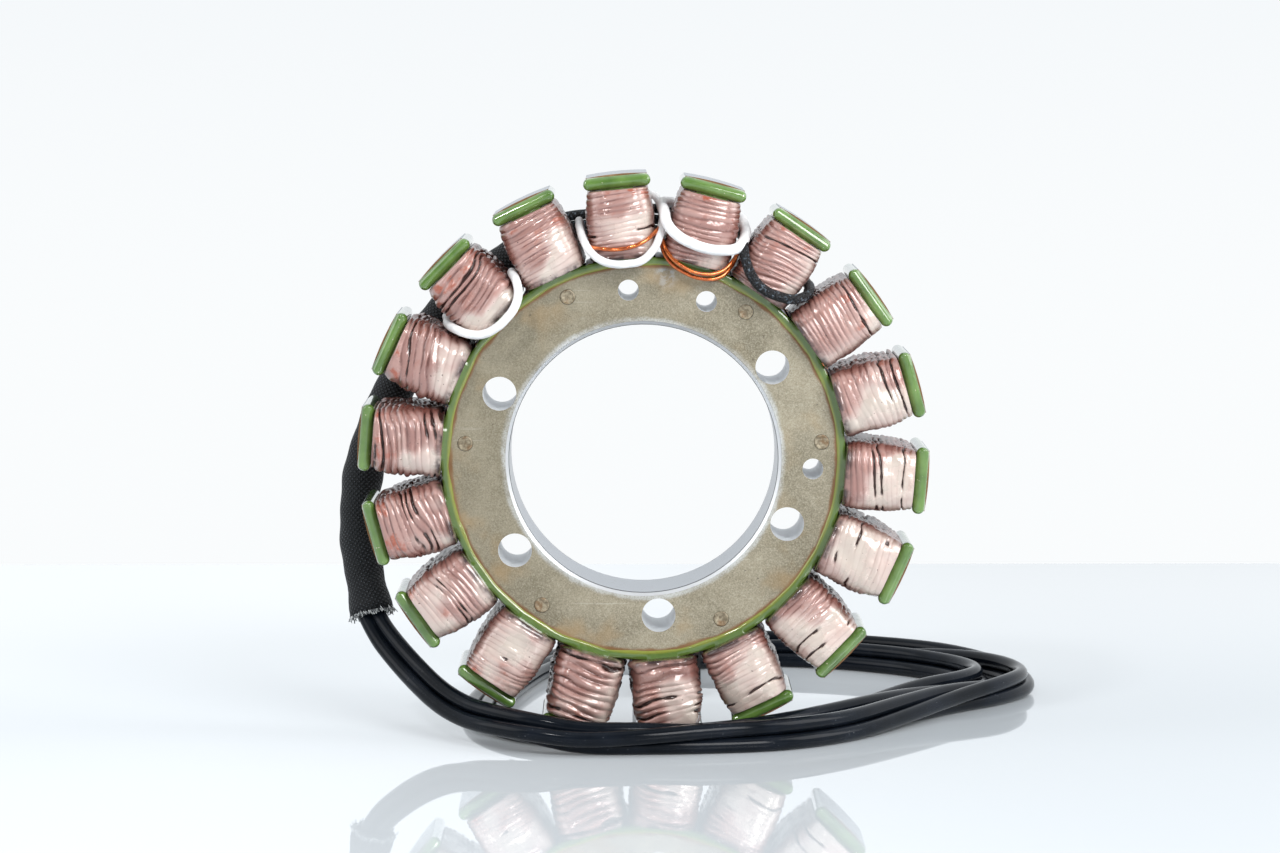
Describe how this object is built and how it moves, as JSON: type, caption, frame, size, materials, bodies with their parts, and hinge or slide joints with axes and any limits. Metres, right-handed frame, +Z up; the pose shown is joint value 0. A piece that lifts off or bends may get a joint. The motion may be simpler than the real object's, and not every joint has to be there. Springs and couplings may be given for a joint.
{
  "type": "wound alternator stator with output harness",
  "caption": "Wound alternator stator: a riveted steel core with resin-coated poles, copper coils, lacing ties and a dark output harness looped on the floor.",
  "frame": {"origin": "centre of the bore, half way along the stack", "axes": "+Y along the bore axis, away from the front face; +Z up, as the part stands on its rim; the pole that the counting starts from leans 5.5 degrees from +Z towards -X"},
  "size_m": [0.1551, 0.1557, 0.118],
  "materials": {
    "laminations": "mottled satin steel",
    "coat": "glossy green resin",
    "rivets": "satin steel",
    "winding": "copper under glossy resin",
    "bright_copper": "clear enamelled copper",
    "tie": "off-white lacing tube",
    "lead": "dark insulating sleeve",
    "woven_sleeve": "dark woven sleeve",
    "wire": "matte dark rubber",
    "connector": "satin",
    "terminal": "bright metal"
  },
  "bodies": {
    "root": {"core_laminations": "laminations", "insulation_coat": "coat", "core_rivets": "rivets", "coil_01": "winding", "coil_02": "winding", "coil_03": "winding", "coil_04": "winding", "coil_05": "winding", "coil_06": "winding", "coil_07": "winding", "coil_08": "winding", "coil_09": "winding", "coil_10": "winding", "coil_11": "winding", "coil_12": "winding", "coil_13": "winding", "coil_14": "winding", "coil_15": "winding", "coil_16": "winding", "coil_17": "winding", "coil_18": "winding", "crossover_wires": "winding", "tie_pole_17": "tie", "tie_pole_01": "tie", "tie_pole_02": "tie", "phase_lead_a": "lead", "phase_lead_b": "lead", "phase_lead_c": "lead", "bright_wire_01": "bright_copper", "bright_wires_02": "bright_copper", "harness_sleeve": "woven_sleeve", "output_wire_1": "wire", "output_wire_2": "wire", "output_wire_3": "wire", "wire_loop": "wire", "connector_housing": "connector", "connector_terminals": "terminal"}
  },
  "joints": []
}
